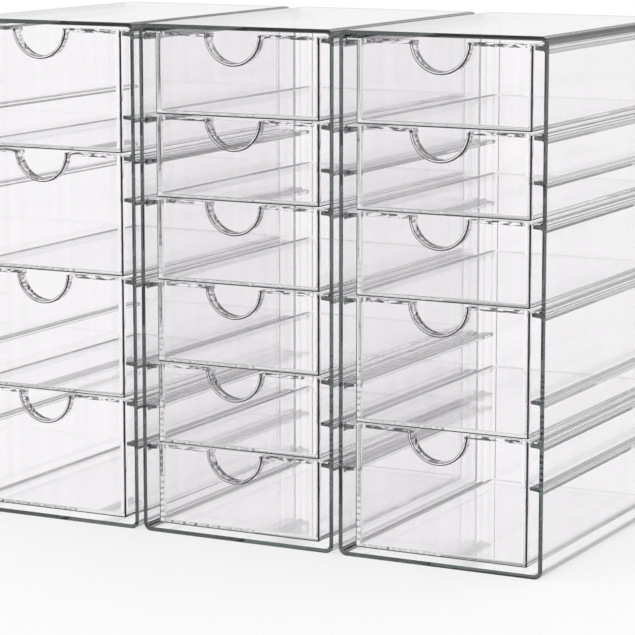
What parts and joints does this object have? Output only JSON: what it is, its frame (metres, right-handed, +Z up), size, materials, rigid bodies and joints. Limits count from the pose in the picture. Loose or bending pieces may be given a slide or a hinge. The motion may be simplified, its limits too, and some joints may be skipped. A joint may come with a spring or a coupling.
{
  "type": "clear make-up organizer with drawers",
  "caption": "Clear acrylic organizer towers side by side, with small and large open-topped drawers that hang on ledges and slide out by half-round finger pulls.",
  "frame": {"origin": "on the table, in the middle of the set's width and of its depth from the finger pulls to the back walls", "axes": "+X to the right along the row of towers seen from the front, +Y to the back walls, +Z up"},
  "size_m": [0.388, 0.2012, 0.302],
  "materials": {
    "cabinet_clear": "clear moulded acrylic, polished, grey-green at its cut rims",
    "drawer_clear": "clear moulded acrylic, polished"
  },
  "bodies": {
    "cabinets": {"left_cabinet": "cabinet_clear", "middle_cabinet": "cabinet_clear", "right_cabinet": "cabinet_clear"},
    "left_large_drawer_1": {"left_large_drawer_1": "drawer_clear"},
    "left_large_drawer_2": {"left_large_drawer_2": "drawer_clear"},
    "left_large_drawer_3": {"left_large_drawer_3": "drawer_clear"},
    "left_large_drawer_4": {"left_large_drawer_4": "drawer_clear"},
    "middle_small_drawer_1": {"middle_small_drawer_1": "drawer_clear"},
    "middle_small_drawer_2": {"middle_small_drawer_2": "drawer_clear"},
    "middle_small_drawer_3": {"middle_small_drawer_3": "drawer_clear"},
    "middle_small_drawer_4": {"middle_small_drawer_4": "drawer_clear"},
    "middle_small_drawer_5": {"middle_small_drawer_5": "drawer_clear"},
    "middle_small_drawer_6": {"middle_small_drawer_6": "drawer_clear"},
    "right_small_drawer_1": {"right_small_drawer_1": "drawer_clear"},
    "right_small_drawer_2": {"right_small_drawer_2": "drawer_clear"},
    "right_small_drawer_3": {"right_small_drawer_3": "drawer_clear"},
    "right_large_drawer_4": {"right_large_drawer_4": "drawer_clear"},
    "right_large_drawer_5": {"right_large_drawer_5": "drawer_clear"}
  },
  "joints": [
    {"name": "left_large_drawer_1_slide", "type": "slide", "parent": "cabinets", "child": "left_large_drawer_1", "axis": [0, -1, 0], "range_m": [0, 0.15]},
    {"name": "left_large_drawer_2_slide", "type": "slide", "parent": "cabinets", "child": "left_large_drawer_2", "axis": [0, -1, 0], "range_m": [0, 0.15]},
    {"name": "left_large_drawer_3_slide", "type": "slide", "parent": "cabinets", "child": "left_large_drawer_3", "axis": [0, -1, 0], "range_m": [0, 0.15]},
    {"name": "left_large_drawer_4_slide", "type": "slide", "parent": "cabinets", "child": "left_large_drawer_4", "axis": [0, -1, 0], "range_m": [0, 0.15]},
    {"name": "middle_small_drawer_1_slide", "type": "slide", "parent": "cabinets", "child": "middle_small_drawer_1", "axis": [0, -1, 0], "range_m": [0, 0.15]},
    {"name": "middle_small_drawer_2_slide", "type": "slide", "parent": "cabinets", "child": "middle_small_drawer_2", "axis": [0, -1, 0], "range_m": [0, 0.15]},
    {"name": "middle_small_drawer_3_slide", "type": "slide", "parent": "cabinets", "child": "middle_small_drawer_3", "axis": [0, -1, 0], "range_m": [0, 0.15]},
    {"name": "middle_small_drawer_4_slide", "type": "slide", "parent": "cabinets", "child": "middle_small_drawer_4", "axis": [0, -1, 0], "range_m": [0, 0.15]},
    {"name": "middle_small_drawer_5_slide", "type": "slide", "parent": "cabinets", "child": "middle_small_drawer_5", "axis": [0, -1, 0], "range_m": [0, 0.15]},
    {"name": "middle_small_drawer_6_slide", "type": "slide", "parent": "cabinets", "child": "middle_small_drawer_6", "axis": [0, -1, 0], "range_m": [0, 0.15]},
    {"name": "right_small_drawer_1_slide", "type": "slide", "parent": "cabinets", "child": "right_small_drawer_1", "axis": [0, -1, 0], "range_m": [0, 0.15]},
    {"name": "right_small_drawer_2_slide", "type": "slide", "parent": "cabinets", "child": "right_small_drawer_2", "axis": [0, -1, 0], "range_m": [0, 0.15]},
    {"name": "right_small_drawer_3_slide", "type": "slide", "parent": "cabinets", "child": "right_small_drawer_3", "axis": [0, -1, 0], "range_m": [0, 0.15]},
    {"name": "right_large_drawer_4_slide", "type": "slide", "parent": "cabinets", "child": "right_large_drawer_4", "axis": [0, -1, 0], "range_m": [0, 0.15]},
    {"name": "right_large_drawer_5_slide", "type": "slide", "parent": "cabinets", "child": "right_large_drawer_5", "axis": [0, -1, 0], "range_m": [0, 0.15]}
  ]
}
